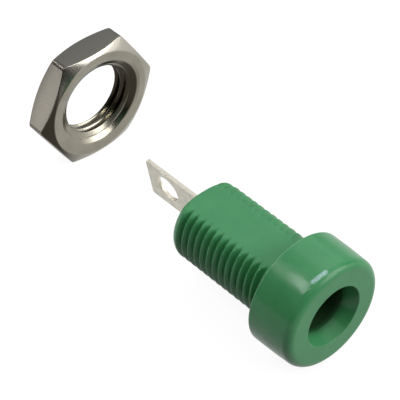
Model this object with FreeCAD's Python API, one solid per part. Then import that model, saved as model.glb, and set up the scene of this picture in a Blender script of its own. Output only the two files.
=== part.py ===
import FreeCAD, Part
import math
import os

from FreeCAD import Vector

# A panel-mount jack for 4 mm banana plugs, with its nut taken off and standing behind it.
# All lengths are in millimetres and all angles in degrees.
# The origin is on the jack's axis, in the plane where the back of the head meets the panel.
# The plug goes in along +Y, so the mouth faces -Y, and +Z is normal to the shank's upper flat.

# Insulator: the head
head_diameter = 11.22
head_length = 4.76
head_front_radius = 0.8
mouth_diameter = 6.2
funnel_depth = 1.4

# Insulator: the shank, 5/16 inch with 32 threads to the inch and two opposite flats
shank_length = 12.15
thread_diameter = 7.9
thread_pitch = 25.4 / 32
thread_depth = 0.46
thread_angle = 60.0
thread_seat_gap = 0.65
thread_end_land = 0.5
width_across_flats = 5.85
flat_width = 4.5
flat_bevel_angle = 24.5
shank_end_round = 1.1
end_wall = 1.0

# Contact: a sleeve rolled from sheet, its neck and the solder tab, all one piece
sheet_thickness = 0.38
sleeve_recess = 3.4
sleeve_bore_diameter = 4.1
sleeve_length = 8.2
sleeve_slit = 0.7
sleeve_lead_in = 0.15
neck_span = 85.0
shoulder_width = 4.85
shoulder_length = 0.6
tab_width = 4.55
tab_reach = 7.1
tab_offset = 0.2
tab_corner_radius = 0.3
eye_diameter = 2.75
eye_from_tip = 2.6
eye_offset = 0.2

# The contact stands a little turned in the insulator, clockwise as seen from the head
contact_turn = 9.0

# Room between the contact and the insulator
sleeve_clearance = 0.03
slot_clearance = 0.05

# Nut
nut_wall = 2.1
nut_thickness = 3.0
nut_chamfer_angle = 22.0
nut_chamfer_start = 0.25
nut_lip_width = 0.9
nut_lip_bend_width = 0.45
nut_lip_bend_depth = 0.1
nut_ring_width = 0.19
nut_ring_depth = 0.4
nut_thread_lead = 0.3
nut_thread_clearance = 0.12
nut_thread_height = 0.44

# Where the nut stands: on one of its flats, level with the bottom of the head
nut_gap_behind_tab = 10.45
nut_side_shift = 3.0

# Worked out from the sizes above
head_radius = head_diameter / 2
mouth_radius = mouth_diameter / 2
thread_radius = thread_diameter / 2
face_y = -head_length
funnel_end_y = face_y + funnel_depth
sleeve_start_y = face_y + sleeve_recess
end_wall_y = shank_length - end_wall
sleeve_inner_radius = sleeve_bore_diameter / 2
sleeve_outer_radius = sleeve_inner_radius + sheet_thickness
cavity_radius = sleeve_outer_radius + sleeve_clearance
sleeve_end_y = sleeve_start_y + sleeve_length
shoulder_y = end_wall_y - shoulder_length
tab_tip_y = shank_length + tab_reach
nut_y = tab_tip_y + nut_gap_behind_tab
nut_flat_radius = thread_radius + nut_wall
nut_z = nut_flat_radius - head_radius

y_axis = Vector(0, 1, 0)
tool_margin = 0.1
half_turn = 0.5


def at(radius, y):
    """Give the point of a turned outline at this radius and place along the axis."""
    return Vector(radius, y, 0)


def line(start, end):
    """Join two points of an outline."""
    return Part.LineSegment(start, end).toShape()


def round_corner(centre, radius, start_angle, end_angle):
    """Draw a quarter or other part of a circle in an outline, counterclockwise."""
    circle = Part.Circle(centre, Vector(0, 0, 1), radius)
    return Part.ArcOfCircle(circle, math.radians(start_angle), math.radians(end_angle)).toShape()


def closed_face(points):
    """Make a flat face from the corners of a closed outline."""
    return Part.Face(Part.makePolygon(points + points[:1]))


def turned(edges):
    """Turn a closed outline round the jack's axis."""
    outline = Part.Wire(Part.__sortEdges__(edges))
    return Part.Face(outline).revolve(Vector(), y_axis, 360)


def block(width, length, height, centre_x, y, centre_z):
    """Make a box that starts at y and is centred in the other two directions."""
    corner = Vector(centre_x - width / 2, y, centre_z - height / 2)
    return Part.makeBox(width, length, height, corner)


def groove_cutter(tip_radius, open_radius, turns):
    """Make a V-shaped cutter for a stretch of right-handed thread that winds along +Y.

    The tip of the V is at tip_radius and its open side at open_radius. The stretch starts
    above the axis, at +Z, with y = 0.
    """
    half_open = abs(open_radius - tip_radius) * math.tan(math.radians(thread_angle / 2))
    corners = [
        Vector(tip_radius, 0, 0),
        Vector(open_radius, 0, -half_open),
        Vector(open_radius, 0, half_open),
    ]
    section = Part.makePolygon(corners + corners[:1])
    path = Part.makeHelix(thread_pitch, turns * thread_pitch, open_radius)
    cutter = Part.Wire(path.Edges).makePipeShell([section], True, True)
    cutter.rotate(Vector(), Vector(1, 0, 0), -90)
    cutter.rotate(Vector(), y_axis, -90)
    return cutter


def cut_thread(shape, cutter, turns, start_y, count):
    """Cut the thread's groove, one stretch after another."""
    for step in range(count):
        stretch = cutter.copy()
        stretch.rotate(Vector(), y_axis, 360 * turns * step)
        stretch.translate(Vector(0, start_y + turns * thread_pitch * step, 0))
        shape = shape.cut(stretch)
    return shape


def make_head():
    """Make the round head, with its rounded front edge and the sharp back rim of the mould's parting."""
    front = head_front_radius
    return turned([
        line(at(0, 0), at(head_radius, 0)),
        line(at(head_radius, 0), at(head_radius, face_y + front)),
        round_corner(at(head_radius - front, face_y + front), front, 270, 360),
        line(at(head_radius - front, face_y), at(0, face_y)),
        line(at(0, face_y), at(0, 0)),
    ])


def make_rod():
    """Make the round bar that the shank is made from, with two chamfers that round its end."""
    bend = shank_end_round * (1 - math.cos(math.radians(45)))
    outline = [
        at(0, 0),
        at(thread_radius, 0),
        at(thread_radius, shank_length - shank_end_round),
        at(thread_radius - bend, shank_length - bend),
        at(thread_radius - shank_end_round, shank_length),
        at(0, shank_length),
    ]
    return closed_face(outline).revolve(Vector(), y_axis, 360)


def make_slab():
    """Make the slab that gives the shank its two flats, bevelled along their edges."""
    half_width = flat_width / 2
    half_height = width_across_flats / 2
    side = thread_radius + tool_margin
    side_height = half_height - (side - half_width) * math.tan(math.radians(flat_bevel_angle))
    upper = [
        Vector(-side, 0, side_height),
        Vector(-half_width, 0, half_height),
        Vector(half_width, 0, half_height),
        Vector(side, 0, side_height),
    ]
    lower = [-corner for corner in upper]
    return closed_face(upper + lower).extrude(Vector(0, shank_length, 0))


def make_shank():
    """Make the threaded shank with its two flats, which keep it from turning in a panel.

    The groove is cut by half turns that start and end over the flats, outside the solid.
    """
    shank = make_rod().common(make_slab())
    root_radius = thread_radius - thread_depth
    cutter = groove_cutter(root_radius, thread_radius + tool_margin, half_turn)
    room = shank_length - thread_seat_gap - thread_end_land
    count = math.floor(room / (half_turn * thread_pitch))
    return cut_thread(shank.Solids[0], cutter, half_turn, thread_seat_gap, count)


def make_cavity():
    """Make the hollow of the insulator: the funnel of the mouth, and the bore that holds the sleeve."""
    outline = [
        at(0, face_y - tool_margin),
        at(mouth_radius, face_y - tool_margin),
        at(mouth_radius, face_y),
        at(cavity_radius, funnel_end_y),
        at(cavity_radius, end_wall_y),
        at(0, end_wall_y),
    ]
    return closed_face(outline).revolve(Vector(), y_axis, 360)


def make_insulator():
    """Make the moulded body: head, shank, hollow, and the slot that the tab comes out of."""
    slot_width = sheet_thickness + 2 * slot_clearance
    slot_height = tab_width + 2 * slot_clearance
    slot_length = end_wall + 2 * tool_margin
    slot = block(slot_width, slot_length, slot_height, tab_offset, end_wall_y - tool_margin, 0)
    slot.rotate(Vector(), y_axis, -contact_turn)
    body = make_head().fuse(make_shank()).removeSplitter()
    return body.cut(make_cavity()).cut(slot)


def make_sleeve():
    """Make the rolled sleeve that grips the plug, open along one side where its edges meet."""
    inner = sleeve_inner_radius
    outer = sleeve_outer_radius
    tube = turned([
        line(at(inner + sleeve_lead_in, sleeve_start_y), at(outer, sleeve_start_y)),
        line(at(outer, sleeve_start_y), at(outer, sleeve_end_y)),
        line(at(outer, sleeve_end_y), at(inner, sleeve_end_y)),
        line(at(inner, sleeve_end_y), at(inner, sleeve_start_y + sleeve_lead_in)),
        line(at(inner, sleeve_start_y + sleeve_lead_in), at(inner + sleeve_lead_in, sleeve_start_y)),
    ])
    slit_start = sleeve_start_y - tool_margin
    slit_length = sleeve_length + 2 * tool_margin
    slit = block(outer, slit_length, sleeve_slit, -outer, slit_start, 0)
    return tube.cut(slit)


def sleeve_section():
    """Draw the part of the sleeve's end that runs on into the neck, on the side away from the slit."""
    half = math.radians(neck_span / 2)

    def on_wall(radius, angle):
        return Vector(radius * math.cos(angle), sleeve_end_y, radius * math.sin(angle))

    inner = Part.Arc(*[on_wall(sleeve_inner_radius, angle) for angle in (-half, 0, half)]).toShape()
    outer = Part.Arc(*[on_wall(sleeve_outer_radius, angle) for angle in (half, 0, -half)]).toShape()
    upper = line(on_wall(sleeve_inner_radius, half), on_wall(sleeve_outer_radius, half))
    lower = line(on_wall(sleeve_outer_radius, -half), on_wall(sleeve_inner_radius, -half))
    return Part.Wire([inner, upper, outer, lower])


def shoulder_section():
    """Draw the flat end of the neck, where the sheet has come in to the axis."""
    inner = tab_offset - sheet_thickness / 2
    outer = tab_offset + sheet_thickness / 2
    half_width = shoulder_width / 2
    corners = [
        Vector(inner, shoulder_y, -half_width),
        Vector(inner, shoulder_y, half_width),
        Vector(outer, shoulder_y, half_width),
        Vector(outer, shoulder_y, -half_width),
    ]
    return Part.makePolygon(corners + corners[:1])


def make_tab():
    """Make the flat solder tab: square shoulders behind the end wall, the blade and its eye."""
    shoulder = block(sheet_thickness, shoulder_length, shoulder_width, tab_offset, shoulder_y, 0)
    blade = block(sheet_thickness, tab_tip_y - end_wall_y, tab_width, tab_offset, end_wall_y, 0)
    tip_edges = [edge for edge in blade.Edges
                 if edge.BoundBox.YMin > tab_tip_y - tool_margin and edge.BoundBox.XLength > tool_margin
                 and edge.BoundBox.ZLength < tool_margin]
    blade = blade.makeFillet(tab_corner_radius, tip_edges)
    eye_centre = Vector(tab_offset - sheet_thickness, tab_tip_y - eye_from_tip, eye_offset)
    eye = Part.makeCylinder(eye_diameter / 2, 2 * sheet_thickness, eye_centre, Vector(1, 0, 0))
    return shoulder.fuse(blade).cut(eye)


def make_contact():
    """Make the contact, one piece of sheet from the sleeve's front edge to the tab's tip."""
    neck = Part.makeLoft([sleeve_section(), shoulder_section()], True, True)
    contact = make_sleeve().fuse([neck, make_tab()]).removeSplitter()
    contact.rotate(Vector(), y_axis, -contact_turn)
    return contact


def make_nut():
    """Make the hexagon nut: chamfered corners, a rolled-in lip on both faces, and its thread."""
    corner_radius = nut_flat_radius / math.cos(math.radians(30))
    corners = [Vector(corner_radius * math.cos(math.radians(angle)), 0,
                      corner_radius * math.sin(math.radians(angle))) for angle in range(0, 360, 60)]
    prism = closed_face(corners).extrude(Vector(0, nut_thickness, 0))

    major_radius = (thread_diameter + nut_thread_clearance) / 2
    minor_radius = major_radius - nut_thread_height
    face_radius = nut_flat_radius - nut_chamfer_start
    ring_radius = major_radius + nut_ring_width
    lip_radius = ring_radius + nut_lip_width
    rim_radius = corner_radius + tool_margin
    rim_drop = (rim_radius - face_radius) * math.tan(math.radians(nut_chamfer_angle))
    bore_depth = nut_ring_depth + nut_thread_lead
    bend_radius = lip_radius - nut_lip_bend_width
    half_outline = [
        line(at(rim_radius, rim_drop), at(face_radius, 0)),
        line(at(face_radius, 0), at(lip_radius, 0)),
        line(at(lip_radius, 0), at(bend_radius, nut_lip_bend_depth)),
        line(at(bend_radius, nut_lip_bend_depth), at(ring_radius, nut_ring_depth)),
        line(at(ring_radius, nut_ring_depth), at(minor_radius, bore_depth)),
    ]
    middle = Vector(0, nut_thickness / 2, 0)
    other_half = [edge.mirror(middle, y_axis) for edge in half_outline]
    walls = [
        line(at(rim_radius, rim_drop), at(rim_radius, nut_thickness - rim_drop)),
        line(at(minor_radius, bore_depth), at(minor_radius, nut_thickness - bore_depth)),
    ]
    blank = prism.common(turned(half_outline + other_half + walls))

    cutter = groove_cutter(major_radius, minor_radius - tool_margin, 1)
    count = math.ceil(nut_thickness / thread_pitch) + 1
    start_y = (nut_thickness - count * thread_pitch) / 2
    nut = cut_thread(blank.Solids[0], cutter, 1, start_y, count)
    nut.translate(Vector(nut_side_shift, nut_y, nut_z))
    return nut


pieces = {
    "insulator_body": make_insulator(),
    "socket_contact": make_contact(),
    "panel_nut": make_nut(),
}

os.makedirs("parts", exist_ok=True)
for name, shape in pieces.items():
    shape.exportStep(f"parts/{name}.step")
    print(name, "valid" if shape.isValid() else "not valid", len(shape.Solids), "solid,",
          round(shape.Volume, 3), "mm3,", len(shape.Faces), "faces")
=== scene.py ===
import math

import bmesh
import bpy
import numpy as np
from mathutils import Matrix, Vector


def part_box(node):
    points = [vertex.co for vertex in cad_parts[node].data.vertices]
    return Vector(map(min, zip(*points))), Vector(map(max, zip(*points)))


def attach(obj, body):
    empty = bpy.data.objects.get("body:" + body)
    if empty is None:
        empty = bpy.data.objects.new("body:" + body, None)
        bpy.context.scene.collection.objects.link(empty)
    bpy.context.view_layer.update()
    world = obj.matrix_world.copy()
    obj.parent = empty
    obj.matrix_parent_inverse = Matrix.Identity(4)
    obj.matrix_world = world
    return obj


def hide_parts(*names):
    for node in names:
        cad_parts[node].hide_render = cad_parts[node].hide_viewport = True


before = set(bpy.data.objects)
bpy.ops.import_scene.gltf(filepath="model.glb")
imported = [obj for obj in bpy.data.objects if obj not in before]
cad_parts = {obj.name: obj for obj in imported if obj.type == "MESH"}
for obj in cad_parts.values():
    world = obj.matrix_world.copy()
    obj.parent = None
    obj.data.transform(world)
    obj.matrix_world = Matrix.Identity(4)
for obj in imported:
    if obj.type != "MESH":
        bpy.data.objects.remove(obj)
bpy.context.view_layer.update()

# Lengths are in millimetres, in the frame's own axes, up to the moment a mesh, lamp or camera is made.
MM = 0.001


def box_of(name):
    """Give a CAD node's lowest and highest corners in millimetres."""
    low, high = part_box(name)
    return np.array(low) / MM, np.array(high) / MM


body_low, body_high = box_of("insulator_body")
nut_low, nut_high = box_of("panel_nut")
floor_z = min(body_low[2], nut_low[2])

# Insulator: the head and the hollow. The side is a very flat arc that draws in a little towards the front.
rim_radius = min(body_high[0], -body_low[0])
front_side_radius = rim_radius - 0.12
back_side_radius = rim_radius - 0.015
side_arc_radius = 36.0
side_arc_y = -2.15
face_y = body_low[1]
head_front_radius = 0.8
rim_edge_radius = 0.05
seat_start_radius = 4.25
mouth_radius = 3.1
mouth_lip_radius = 0.1
funnel_depth = 1.4
funnel_end_radius = 0.12
cavity_radius = 2.46
end_wall = 1.0
slot_width = 0.48
slot_height = 4.65
slot_offset = 0.2
slot_edge_radius = 0.06
contact_turn = math.radians(9)

# Insulator: the shank and its thread. The flat_end values soften the line where the flats meet the round end.
shank_length = body_high[1]
shank_radius = 3.95
half_flats = 2.925
flat_half_width = 2.26
flat_edge_radius = 0.95
shank_end_round = 1.1
shank_end_start = shank_length - shank_end_round
shank_face_shrink = 0.985
flat_end_round = 0.6
flat_end_margin = 0.05
flat_end_fade = 0.3
flat_end_onset = 0.6
thread_pitch = 25.4 / 32
thread_depth = 0.46
thread_half_angle = 30.0
thread_seat_gap = 0.65
thread_turns = 13.5
thread_row = 0.045
crest_softness = 0.21
root_softness = 0.05

# Nut
nut_flat_radius = (nut_high[2] - nut_low[2]) / 2
nut_thickness = nut_high[1] - nut_low[1]
nut_centre = (nut_low + nut_high) / 2
nut_face_radius = nut_flat_radius - 0.42
nut_face_round = 0.12
nut_chamfer_angle = 27.0
nut_lip_radius = 5.1
nut_lip_round = 1.2
nut_lip_bend = (4.62, 0.13)
nut_lip_bend_round = 0.7
nut_ring_radius = 4.2
nut_ring_depth = 0.4
nut_ring_round = 0.03
nut_ring_inset = 0.06
nut_lead_depth = 0.74
nut_major_radius = 4.01
nut_thread_height = 0.44
nut_thread_margin = 0.08
nut_thread_row = 0.035
nut_corner_radius = 0.55
nut_edge_break = 0.06
nut_crest_softness = 0.06

# Contact: the sheared edges of the sheet
sheet_edge_bevel = 0.045

# Room that a flat face keeps between a rounded edge and the next row of points, so that it shades flat
support = 0.03

# The photo's few marks on the nylon, and one painted highlight: start, end, half width, strength and colour
moulding_dark = (0.008, 0.045, 0.012)
nylon_marks_and_highlight = [
    # The first is a painted highlight, a pale streak along the head's front rounding. The others are marks.
    ((-1.9, -3.99, 5.23), (-0.55, -4.12, 5.53), 0.3, 0.95, (0.5, 0.72, 0.72)),
    ((-3.2, -3.84, 4.56), (-2.3, -4.27, 5.02), 0.07, 0.7, (0.4, 0.6, 0.46)),
    ((-5.54, -1.95, -0.7), (-5.5, -2.5, -0.92), 0.19, 1.0, moulding_dark),
    ((-5.53, -2.85, -0.78), (-5.52, -3.05, -0.9), 0.15, 1.0, moulding_dark),
    ((-3.15, 7.55, 2.38), (-3.05, 7.67, 2.44), 0.09, 0.9, (0.5, 0.66, 0.55)),
]

# Floor: its half width in metres, and how far it is lifted where the camera or a reflection sees it
floor_half_width = 3.0
floor_grey = 0.15
floor_lift_seen = 0.92
floor_lift_reflected = 0.7

sky_strength = 0.05


def softened(corners):
    """Round the corners of an open outline with true arcs.

    A corner is (radius, y, rounding, steps). The first and last keep their place.
    """
    outline = [corners[0][:2]]
    for before, corner, after in zip(corners, corners[1:], corners[2:]):
        tip = np.array(corner[:2])
        rounding, steps = corner[2:]
        arrive = tip - before[:2]
        leave = np.array(after[:2]) - tip
        arrive = arrive / np.hypot(*arrive)
        leave = leave / np.hypot(*leave)
        turn = math.acos(np.clip(arrive @ leave, -1, 1))
        reach = rounding * math.tan(turn / 2)
        weight = math.cos(turn / 2)
        outline.append(tip - arrive * (reach + support))
        for t in np.linspace(0, 1, steps + 1):
            parts = np.array([(1 - t) ** 2, 2 * weight * t * (1 - t), t ** 2])
            points = np.array([tip - arrive * reach, tip, tip + leave * reach])
            outline.append(parts @ points / parts.sum())
        outline.append(tip + leave * (reach + support))
    outline.append(corners[-1][:2])
    return outline


def turned_ring(radius, y, angles):
    """Give a ring of points round the axis, at angles measured from +Z towards +X."""
    return np.stack([radius * np.sin(angles), np.full_like(angles, y), radius * np.cos(angles)], -1)


def place(name, data):
    """Put a mesh, lamp or camera into the scene."""
    added = bpy.data.objects.new(name, data)
    bpy.context.scene.collection.objects.link(added)
    return added


def skin(name, rings):
    """Join rings of points into one closed skin: each ring to the next, and the last to the first."""
    rings = np.asarray(rings)
    rows, columns = rings.shape[:2]
    here = np.arange(rows * columns).reshape(rows, columns)
    ahead = np.roll(here, -1, axis=0)
    corners = [here, np.roll(here, -1, axis=1), np.roll(ahead, -1, axis=1), ahead]
    faces = np.stack(corners, -1).reshape(-1, 4)
    mesh = bpy.data.meshes.new(name)
    mesh.from_pydata((rings.reshape(-1, 3) * MM).tolist(), [], faces.tolist())
    mesh.validate()
    mesh.shade_smooth()
    return place(name, mesh)


def soft_least(first, second, softness):
    """Give the smaller of two values, with the edge where they meet rounded off."""
    softness = np.maximum(softness, 1e-6)
    overlap = np.maximum(softness - np.abs(first - second), 0) / softness
    return np.minimum(first, second) - overlap ** 2 * softness / 4


def groove_wall(offset, root_radius, direction):
    """Give the radius of a V groove's wall at a distance from its middle, with a soft root."""
    reach = np.sqrt(offset ** 2 + root_softness ** 2) - root_softness
    return root_radius + direction * reach / math.tan(math.radians(thread_half_angle))


def shank_columns():
    """Give the shank's outline before its thread: right side, lower flat, left side and upper flat.

    The points are (x, z) and follow the flats, their rounded edges and the round sides. A finely
    divided side is drawn first, and its columns are then spread evenly along it.
    """
    side_steps = 84
    flat_steps = 36
    edge_centre = np.array([flat_half_width, half_flats - flat_edge_radius])
    edge_end = math.atan2(edge_centre[0], edge_centre[1])
    edge_turns = np.linspace(0, edge_end, 200)
    edge = edge_centre + flat_edge_radius * np.stack([np.sin(edge_turns), np.cos(edge_turns)], -1)
    side_turns = np.linspace(edge_end, math.pi / 2, 400)[1:]
    round_side = shank_radius * np.stack([np.sin(side_turns), np.cos(side_turns)], -1)
    half = np.concatenate([edge, round_side])
    full = np.concatenate([half, half[-2::-1] * [1, -1]])
    length = np.concatenate([[0], np.cumsum(np.hypot(*np.diff(full, axis=0).T))])
    even = np.linspace(0, length[-1], side_steps)
    side = np.stack([np.interp(even, length, full[:, axis]) for axis in (0, 1)], -1)
    even = np.linspace(-1, 1, flat_steps + 2)[1:-1]
    across = flat_half_width * (even + np.sin(math.pi / 2 * even)) / 2
    flat = np.stack([-across, np.full_like(across, -half_flats)], -1)
    return np.concatenate([side, flat, -side, -flat]), side_steps, flat_steps


def shank_ring(y, columns):
    """Give the shank's section at y: its outline, the thread's groove and the rounded end."""
    reach = np.hypot(columns[:, 0], columns[:, 1])
    angles = np.arctan2(columns[:, 0], columns[:, 1]) % (2 * math.pi)
    radius = reach
    if y > shank_end_start:
        past = y - shank_end_start
        drop = shank_end_round - math.sqrt(max(shank_end_round ** 2 - past ** 2, 0))
        flatness = np.clip((shank_radius - flat_end_margin - reach) / flat_end_fade, 0, 1)
        onset = min(past / (flat_end_onset * shank_end_round), 1) ** 2
        radius = soft_least(reach, shank_radius - drop, flat_end_round * flatness * onset)
    along = (y - thread_seat_gap) / thread_pitch - angles / (2 * math.pi)
    nearest = np.clip(np.round(along), 0, np.floor(thread_turns - angles / (2 * math.pi)))
    wall = groove_wall((along - nearest) * thread_pitch, shank_radius - thread_depth, 1)
    return turned_ring(soft_least(radius, wall, crest_softness), y, angles)


def slot_ring(y, margin, side_steps, flat_steps):
    """Give the tab slot's outline, grown by a margin, with the same columns as the shank's outline."""
    half_width = slot_width / 2 + margin
    half_height = slot_height / 2 + margin
    right = np.full(side_steps, half_width)
    bottom = np.full(flat_steps, -half_height)
    down = np.linspace(half_height, -half_height, side_steps)
    inward = np.linspace(half_width, -half_width, flat_steps + 2)[1:-1]
    x = np.concatenate([right, inward, -right, -inward]) + slot_offset
    z = np.concatenate([down, bottom, -down, -bottom])
    cos, sin = math.cos(contact_turn), math.sin(contact_turn)
    return np.stack([x * cos - z * sin, np.full_like(x, y), x * sin + z * cos], -1)


def make_insulator():
    """Make the moulded body as one closed skin: out of the bore, over the head and down the shank."""
    columns, side_steps, flat_steps = shank_columns()
    angles = np.arctan2(columns[:, 0], columns[:, 1])
    inner_wall_y = shank_length - end_wall

    profile = softened([
        (cavity_radius, inner_wall_y - support, 0, 0),
        (cavity_radius, face_y + funnel_depth, funnel_end_radius, 4),
        (mouth_radius, face_y, mouth_lip_radius, 6),
        (front_side_radius, face_y, head_front_radius, 14),
        (back_side_radius, side_arc_y, side_arc_radius, 12),
        (rim_radius, 0, rim_edge_radius, 3),
        (seat_start_radius, 0, 0, 0),
    ])
    rings = [turned_ring(radius, y, angles) for radius, y in profile]
    seat_spread = 1 + support / shank_radius
    rings.append(shank_ring(0, columns) * [seat_spread, 1, seat_spread])

    rows = np.linspace(0, shank_end_start, round(shank_end_start / thread_row) + 1)
    end_turns = np.radians(np.linspace(0, 90, 37))[1:]
    for y in np.concatenate([rows, shank_end_start + shank_end_round * np.sin(end_turns)]):
        rings.append(shank_ring(y, columns))
    rings.append(rings[-1] * [shank_face_shrink, 1, shank_face_shrink])

    rings.append(slot_ring(shank_length, slot_edge_radius + support, side_steps, flat_steps))
    for turn in np.radians(np.linspace(0, 90, 4)):
        margin = slot_edge_radius * (1 - math.sin(turn))
        y = shank_length - slot_edge_radius * (1 - math.cos(turn))
        rings.append(slot_ring(y, margin, side_steps, flat_steps))
    for y in (inner_wall_y + support, inner_wall_y):
        rings.append(slot_ring(y, 0, side_steps, flat_steps))
    rings.append(turned_ring(cavity_radius - support, inner_wall_y, angles))
    return skin("insulator_skin", rings)


def nut_outline():
    """Give the hexagon's outline with softened corners, flats up and down, as (x, z) points."""
    points = []
    inner_radius = nut_flat_radius - nut_corner_radius
    half_side = inner_radius * math.tan(math.radians(30))
    corner_distance = inner_radius / math.cos(math.radians(30))
    # Places along a flat, with a close pair at each end so that it shades flat
    along = half_side * np.concatenate([[-1, -0.97], np.linspace(-0.9, 0.9, 19), [0.97, 1]])
    for side in range(6):
        facing = math.radians(30 + 60 * side)
        normal = np.array([math.cos(facing), math.sin(facing)])
        tangent = np.array([-normal[1], normal[0]])
        points += [nut_flat_radius * normal + step * tangent for step in along]
        towards = facing + math.radians(30)
        corner = corner_distance * np.array([math.cos(towards), math.sin(towards)])
        for degrees in np.linspace(0, 60, 6)[1:-1]:
            angle = facing + math.radians(degrees)
            points.append(corner + nut_corner_radius * np.array([math.cos(angle), math.sin(angle)]))
    return np.array(points)


def make_nut():
    """Make the nut as one closed skin: over the outside from front to back, and back through the thread."""
    outline = nut_outline()
    reach = np.hypot(outline[:, 0], outline[:, 1])
    unit = outline / reach[:, None]
    slope = math.tan(math.radians(nut_chamfer_angle))

    def ring(radius, y):
        radius = np.broadcast_to(radius, reach.shape)
        return np.stack([unit[:, 0] * radius, np.broadcast_to(y, reach.shape), unit[:, 1] * radius], -1)

    def chamfer(radius):
        return (radius - nut_face_radius) * slope

    front = [ring(radius, y) for radius, y in softened([
        (nut_ring_radius - nut_ring_inset, nut_ring_depth + nut_ring_inset, 0, 0),
        (nut_ring_radius, nut_ring_depth, nut_ring_round, 2),
        (*nut_lip_bend, nut_lip_bend_round, 8),
        (nut_lip_radius, 0, nut_lip_round, 6),
        (nut_face_radius - nut_face_round, 0, 0, 0),
    ])]
    # The face bends into the chamfer over the same width on both sides of the line where they would meet.
    for turn in np.linspace(0.2, 1, 5):
        along = 2 * nut_face_round * turn - nut_face_round
        drop = slope * (along + nut_face_round) ** 2 / (4 * nut_face_round)
        front.append(ring(nut_face_radius + along, drop))
    for turn in np.linspace(0, 1, 5):
        keep = nut_edge_break * (1 - turn) ** 2
        drop = chamfer(reach) - keep * slope + nut_edge_break * turn ** 2
        front.append(ring(reach - keep, drop))
    back = [row * [1, -1, 1] + [0, nut_thickness, 0] for row in front[::-1]]

    angles = np.arctan2(unit[:, 0], unit[:, 1]) % (2 * math.pi)
    minor_radius = nut_major_radius - nut_thread_height
    lead_slope = (nut_ring_radius - minor_radius) / (nut_lead_depth - nut_ring_depth)
    thread_end = nut_ring_depth + nut_thread_margin
    thread_start = nut_thickness - nut_ring_depth - nut_thread_margin
    thread = []
    for y in np.arange(thread_start, thread_end, -nut_thread_row):
        from_ring = min(y, nut_thickness - y) - nut_ring_depth
        along = (y - nut_thickness / 2) / thread_pitch - angles / (2 * math.pi)
        wall = groove_wall((along - np.round(along)) * thread_pitch, nut_major_radius, -1)
        lead = nut_ring_radius - from_ring * lead_slope
        solid = -soft_least(-max(minor_radius, lead), -wall, nut_crest_softness)
        thread.append(ring(solid, y))
    rings = np.array(front + back + thread) + [nut_centre[0], nut_low[1], nut_centre[2]]
    return skin("nut_skin", rings)


def make_contact():
    """Make the contact from its solid, with the sheared edges of the sheet softened."""
    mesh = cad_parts["socket_contact"].data.copy()
    mesh.name = "contact_sheet"
    mesh.materials.clear()
    form = bmesh.new()
    form.from_mesh(mesh)
    bmesh.ops.remove_doubles(form, verts=form.verts, dist=1e-4 * MM)
    bmesh.ops.dissolve_limit(form, angle_limit=math.radians(0.5), verts=form.verts, edges=form.edges)
    sharp = [edge for edge in form.edges if edge.calc_face_angle(0) > math.radians(40)]
    bmesh.ops.bevel(form, geom=sharp, offset=sheet_edge_bevel * MM, offset_type="OFFSET", segments=3,
                    profile=0.5, affect="EDGES", clamp_overlap=True)
    bmesh.ops.triangulate(form, faces=form.faces)
    form.to_mesh(mesh)
    form.free()
    mesh.shade_smooth()
    return place("contact_sheet", mesh)


def material(name):
    """Start a node material and give it, its node tree and its main shader."""
    made = bpy.data.materials.new(name)
    made.use_nodes = True
    tree = made.node_tree
    return made, tree, tree.nodes["Principled BSDF"]


def node(tree, kind, **values):
    """Add a shader node, with its settings and the values of its inputs by name."""
    added = tree.nodes.new(kind)
    for key, value in values.items():
        if hasattr(added, key):
            setattr(added, key, value)
        else:
            added.inputs[key.replace("_", " ")].default_value = value
    return added


def number(tree, operation, *inputs, **values):
    """Add a Math node. An input is another node's output or a plain number."""
    added = node(tree, "ShaderNodeMath", operation=operation, **values)
    for socket, value in zip(added.inputs, inputs):
        if isinstance(value, (int, float)):
            socket.default_value = value
        else:
            tree.links.new(value, socket)
    return added.outputs["Value"]


def vector(tree, operation, first, second=None):
    """Add a Vector Math node. The second input is another node's output or a plain vector."""
    added = node(tree, "ShaderNodeVectorMath", operation=operation)
    tree.links.new(first, added.inputs[0])
    if isinstance(second, bpy.types.NodeSocket):
        tree.links.new(second, added.inputs[1])
    elif second is not None:
        added.inputs[1].default_value = second
    gives_number = operation in ("DOT_PRODUCT", "LENGTH", "DISTANCE")
    return added.outputs["Value" if gives_number else "Vector"]


def ramp(tree, value, start, end, low=0.0, high=1.0, **values):
    """Map a value between a start and an end onto a range, and hold it there outside them."""
    mapped = node(tree, "ShaderNodeMapRange", From_Min=start, From_Max=end, To_Min=low, To_Max=high, **values)
    tree.links.new(value, mapped.inputs["Value"])
    return mapped.outputs["Result"]


def axes_of(tree, value):
    """Split a vector into its parts."""
    parts = node(tree, "ShaderNodeSeparateXYZ")
    tree.links.new(value, parts.inputs["Vector"])
    return parts.outputs


def millimetre_coordinates(tree):
    """Give object coordinates in millimetres, to which the textures' sizes are set."""
    coordinates = node(tree, "ShaderNodeTexCoord")
    scaled = node(tree, "ShaderNodeVectorMath", operation="SCALE", Scale=1 / MM)
    tree.links.new(coordinates.outputs["Object"], scaled.inputs[0])
    return scaled.outputs["Vector"]


def noise(tree, where, scale, detail=3.0, roughness=0.5):
    """Add a noise texture with this many features to the millimetre."""
    texture = node(tree, "ShaderNodeTexNoise", Scale=scale, Detail=detail, Roughness=roughness)
    tree.links.new(where, texture.inputs["Vector"])
    return texture.outputs["Fac"]


def spread(tree, value, low, high):
    """Map a noise value, which stays mostly within 0.3 to 0.7, onto a range."""
    return ramp(tree, value, 0.3, 0.7, low, high)


def blend_colours(tree, factor, first, second):
    """Mix two colours by a factor. A colour is another node's output or three numbers."""
    mixed = node(tree, "ShaderNodeMix", data_type="RGBA")
    for name, colour in (("A", first), ("B", second)):
        if isinstance(colour, tuple):
            mixed.inputs[name].default_value = (*colour, 1)
        else:
            tree.links.new(colour, mixed.inputs[name])
    tree.links.new(factor, mixed.inputs["Factor"])
    return mixed.outputs["Result"]


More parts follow.
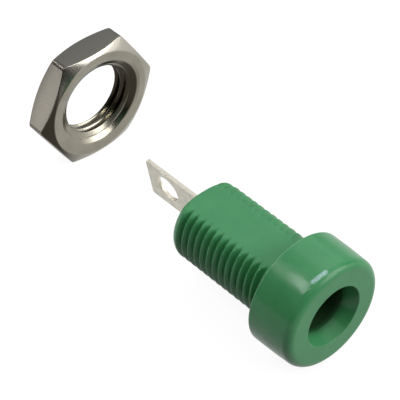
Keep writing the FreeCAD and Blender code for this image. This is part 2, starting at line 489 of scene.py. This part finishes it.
def bump(tree, height, distance):
    """Turn a height into a bump with this distance in millimetres."""
    bumped = node(tree, "ShaderNodeBump", Distance=distance * MM, Strength=1.0)
    tree.links.new(height, bumped.inputs["Height"])
    return bumped.outputs["Normal"]


def mark_or_highlight_mask(tree, where, start, end, half_width, strength):
    """Give the mask of a streak between two points, frayed by a fine noise, for the marks and the painted
    highlight.
    """
    start, end = Vector(start), Vector(end)
    along = end - start
    offset = vector(tree, "SUBTRACT", where, start)
    travel = vector(tree, "DOT_PRODUCT", offset, along / along.length_squared)
    kept = node(tree, "ShaderNodeClamp")
    tree.links.new(travel, kept.inputs["Value"])
    nearest = node(tree, "ShaderNodeVectorMath", operation="SCALE")
    nearest.inputs[0].default_value = along
    tree.links.new(kept.outputs["Result"], nearest.inputs["Scale"])
    distance = vector(tree, "DISTANCE", offset, nearest.outputs["Vector"])
    core = 0.3 * half_width
    mask = ramp(tree, distance, half_width, core, interpolation_type="SMOOTHSTEP")
    fray = spread(tree, noise(tree, where, 7.0), 0.3 * strength, strength)
    return number(tree, "MULTIPLY", mask, fray)


def off_axis(tree, where):
    """Take away what lies along the jack's axis."""
    return vector(tree, "MULTIPLY", where, (1, 0, 1))


def zone(tree, reach, along, reach_range, along_range, strength):
    """Give the mask of a zone of the turned shape, from two soft ramps."""
    outer = ramp(tree, reach, *reach_range)
    last = ramp(tree, along, *along_range, high=strength)
    return number(tree, "MULTIPLY", outer, last)


def green_nylon():
    """Make the glossy green nylon, faintly mottled, with the photo's few marks, painted highlights, painted
    shade in the bore and a moulded grain.
    """
    made, tree, shader = material("green_nylon")
    where = millimetre_coordinates(tree)
    mottle = spread(tree, noise(tree, where, 0.35, detail=4), 0, 1)
    colour = blend_colours(tree, mottle, (0.052, 0.265, 0.1), (0.064, 0.295, 0.114))

    # A thin painted highlight runs along the head's back edge, and the bore behind the mouth is painted dark
    # up to the end wall, a painted shade.
    reach = vector(tree, "LENGTH", off_axis(tree, where))
    along = axes_of(tree, where)["Y"]
    painted_rim_highlight = zone(tree, reach, along, (rim_radius - 0.1, rim_radius - 0.04), (-0.14, -0.05), 0.4)
    colour = blend_colours(tree, painted_rim_highlight, colour, (0.3, 0.55, 0.38))
    # Painted shade: the bore behind the mouth is painted nearly black.
    bore = zone(tree, reach, along, (mouth_radius - 0.3, mouth_radius - 0.6), (-4.1, -2.9), 0.9)
    before_end = ramp(tree, along, shank_length - 0.4, shank_length - end_wall)
    painted_bore_shade = number(tree, "MULTIPLY", bore, before_end)
    colour = blend_colours(tree, painted_bore_shade, colour, (0.012, 0.03, 0.01))
    # The marks, and the painted highlight on the front rounding
    for start, end, half_width, strength, mark_or_highlight_colour in nylon_marks_and_highlight:
        mask = mark_or_highlight_mask(tree, where, start, end, half_width, strength)
        colour = blend_colours(tree, mask, colour, mark_or_highlight_colour)

    tree.links.new(colour, shader.inputs["Base Color"])
    tree.links.new(spread(tree, noise(tree, where, 1.4), 0.2, 0.27), shader.inputs["Roughness"])
    tree.links.new(bump(tree, noise(tree, where, 6.0, detail=2), 0.003), shader.inputs["Normal"])
    shader.inputs["IOR"].default_value = 1.5
    shader.inputs["Specular IOR Level"].default_value = 0.32
    return made


def bright_nickel():
    """Make the nut's nickel plate.

    The turned faces are lighter, and the drawn bar's flats grainy and painted darker as painted shade.
    The upper chamfers get a painted highlight, and turned faces that look left a near-black painted
    reflection.
    """
    made, tree, shader = material("bright_nickel")
    where = millimetre_coordinates(tree)
    normal = node(tree, "ShaderNodeNewGeometry").outputs["Normal"]
    facing = axes_of(tree, normal)
    turned = ramp(tree, number(tree, "ABSOLUTE", facing["Y"]), 0.25, 0.6)
    grain = spread(tree, noise(tree, where, 8.0, detail=5, roughness=0.7), 0, 1)
    # The flats' grain is real; their darker tone is painted shade.
    flats = blend_colours(tree, grain, (0.13, 0.12, 0.102), (0.18, 0.168, 0.144))
    clouds = spread(tree, noise(tree, where, 0.5), 0, 1)
    faces = blend_colours(tree, clouds, (0.3, 0.283, 0.23), (0.37, 0.35, 0.283))
    colour = blend_colours(tree, turned, flats, faces)

    # facing_out is 1 where the surface looks straight away from the nut's axis, and -1 inside the hole.
    outward = vector(tree, "NORMALIZE", off_axis(tree, vector(tree, "SUBTRACT", where, nut_centre)))
    facing_out = vector(tree, "DOT_PRODUCT", outward, normal)
    # Painted highlight: the chamfers that face up are painted lighter.
    chamfer = number(tree, "MULTIPLY", ramp(tree, facing_out, 0.15, 0.35), turned)
    painted_chamfer_highlight = number(tree, "MULTIPLY", chamfer, ramp(tree, facing["Z"], 0.12, 0.34))
    colour = blend_colours(tree, painted_chamfer_highlight, colour, (0.5, 0.475, 0.41))
    # Painted reflection: surfaces that look left, other than the flats, are painted nearly black.
    leftward = ramp(tree, facing["X"], -0.2, -0.4, high=0.95)
    painted_dark_reflection = number(tree, "MULTIPLY", leftward, ramp(tree, facing_out, 0.75, 0.6))
    colour = blend_colours(tree, painted_dark_reflection, colour, (0.03, 0.024, 0.015))

    tree.links.new(colour, shader.inputs["Base Color"])
    tree.links.new(ramp(tree, turned, 0, 1, 0.3, 0.2), shader.inputs["Roughness"])
    tree.links.new(bump(tree, noise(tree, where, 6.0, detail=4), 0.003), shader.inputs["Normal"])
    shader.inputs["Metallic"].default_value = 1.0
    return made


def tinned_sheet():
    """Make the contact's dull tin plate, warmer where the sheet's cut edges show."""
    made, tree, shader = material("tinned_sheet")
    where = millimetre_coordinates(tree)
    normal = node(tree, "ShaderNodeNewGeometry").outputs["Normal"]
    across = vector(tree, "DOT_PRODUCT", normal, (math.cos(contact_turn), 0, math.sin(contact_turn)))
    facing = number(tree, "ABSOLUTE", across)
    clouds = spread(tree, noise(tree, where, 1.6, detail=5), 0, 1)
    plate = blend_colours(tree, clouds, (0.52, 0.5, 0.43), (0.7, 0.675, 0.58))
    colour = blend_colours(tree, facing, (0.85, 0.79, 0.67), plate)

    tree.links.new(colour, shader.inputs["Base Color"])
    tree.links.new(spread(tree, noise(tree, where, 2.5), 0.34, 0.46), shader.inputs["Roughness"])
    tree.links.new(bump(tree, noise(tree, where, 5.0, detail=5), 0.006), shader.inputs["Normal"])
    shader.inputs["Metallic"].default_value = 1.0
    return made


def pale_floor():
    """Make the floor: plain and pale, and lifted to white where the camera or a reflection sees it."""
    made, tree, shader = material("pale_floor")
    path = node(tree, "ShaderNodeLightPath").outputs
    straight = number(tree, "ADD", path["Is Camera Ray"], path["Is Transmission Ray"], use_clamp=True)
    reflected = number(tree, "MULTIPLY", path["Is Glossy Ray"], floor_lift_reflected)
    lift = number(tree, "MULTIPLY_ADD", straight, floor_lift_seen, reflected)
    tree.links.new(lift, shader.inputs["Emission Strength"])
    shader.inputs["Emission Color"].default_value = (1, 1, 1, 1)
    shader.inputs["Base Color"].default_value = (floor_grey, floor_grey, floor_grey, 1)
    shader.inputs["Roughness"].default_value = 1.0
    shader.inputs["Specular IOR Level"].default_value = 0.0
    return made


def make_floor():
    """Lay the floor under the head and the nut."""
    half = floor_half_width
    z = floor_z * MM
    corners = [(-half, -half, z), (half, -half, z), (half, half, z), (-half, half, z)]
    mesh = bpy.data.meshes.new("floor")
    mesh.from_pydata(corners, [], [(0, 1, 2, 3)])
    mesh.materials.append(pale_floor())
    place("floor", mesh)


def make_world():
    """Fill the sky with plain white light."""
    world = bpy.data.worlds.new("studio")
    bpy.context.scene.world = world
    world.use_nodes = True
    background = world.node_tree.nodes["Background"]
    background.inputs["Color"].default_value = (1, 1, 1, 1)
    background.inputs["Strength"].default_value = sky_strength


def softbox(name, direction, distance, width, height, radiance, colour=(1, 1, 1)):
    """Hang a lamp in a direction from the jack, facing it. Its height is along the jack's axis."""
    direction = Vector(direction).normalized()
    lamp = bpy.data.lights.new(name, "AREA")
    lamp.shape = "RECTANGLE"
    lamp.size = width * MM
    lamp.size_y = height * MM
    lamp.energy = radiance * math.pi * width * height * MM ** 2
    lamp.color = colour
    side = Vector((0, 1, 0)).cross(direction).normalized()
    axes = Matrix((side, direction.cross(side), direction)).transposed().to_4x4()
    holder = place(name, lamp)
    holder.matrix_world = Matrix.Translation(direction * distance * MM) @ axes
    holder.visible_camera = False


def make_camera():
    """Stand the camera where the photograph was taken from."""
    position = Vector((-78.262, -78.152, 119.671))
    right = Vector((0.7395, -0.6727, -0.0247))
    forward = Vector((0.4664, 0.5385, -0.7017))
    up = right.cross(forward)
    lens = bpy.data.cameras.new("camera")
    lens.lens = 168.55
    lens.sensor_width = 36.0
    lens.clip_start = 0.01
    axes = Matrix((right, up, -forward)).transposed().to_4x4()
    holder = place("camera", lens)
    holder.matrix_world = Matrix.Translation(position * MM) @ axes
    bpy.context.scene.camera = holder


def dress(piece, node_name, finish):
    """Put a finished piece in a node's place, on the jack's one body."""
    piece.data.materials.append(finish)
    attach(piece, "root")
    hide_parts(node_name)


dress(make_insulator(), "insulator_body", green_nylon())
dress(make_nut(), "panel_nut", bright_nickel())
dress(make_contact(), "socket_contact", tinned_sheet())

make_floor()
make_world()
softbox("key", (-0.359, 0.37, 0.857), 400, 120, 22, 29.0)
softbox("corner_glint", (-0.313, 0.671, 0.674), 322, 60, 34, 14.0)
softbox("overhead", (0.25, -0.15, 1.0), 600, 900, 900, 0.84)
softbox("front_right", (0.5, -0.8, 0.42), 600, 420, 420, 4.4)
softbox("back_right", (0.55, 0.52, 0.6), 600, 460, 460, 0.95, (0.9, 0.96, 1.0))
softbox("left_card", (-0.642, 0.763, 0.073), 82.6, 28, 28, 2.5)
softbox("low_right", (0.82, -0.55, 0.1), 400, 90, 220, 1.4)
softbox("right_fill", (1.0, 0.2, 0.24), 600, 420, 420, 0.5)
softbox("back_fill", (-0.15, 1.0, 0.35), 600, 620, 380, 0.8)
make_camera()
bpy.context.scene.view_settings.view_transform = "Standard"
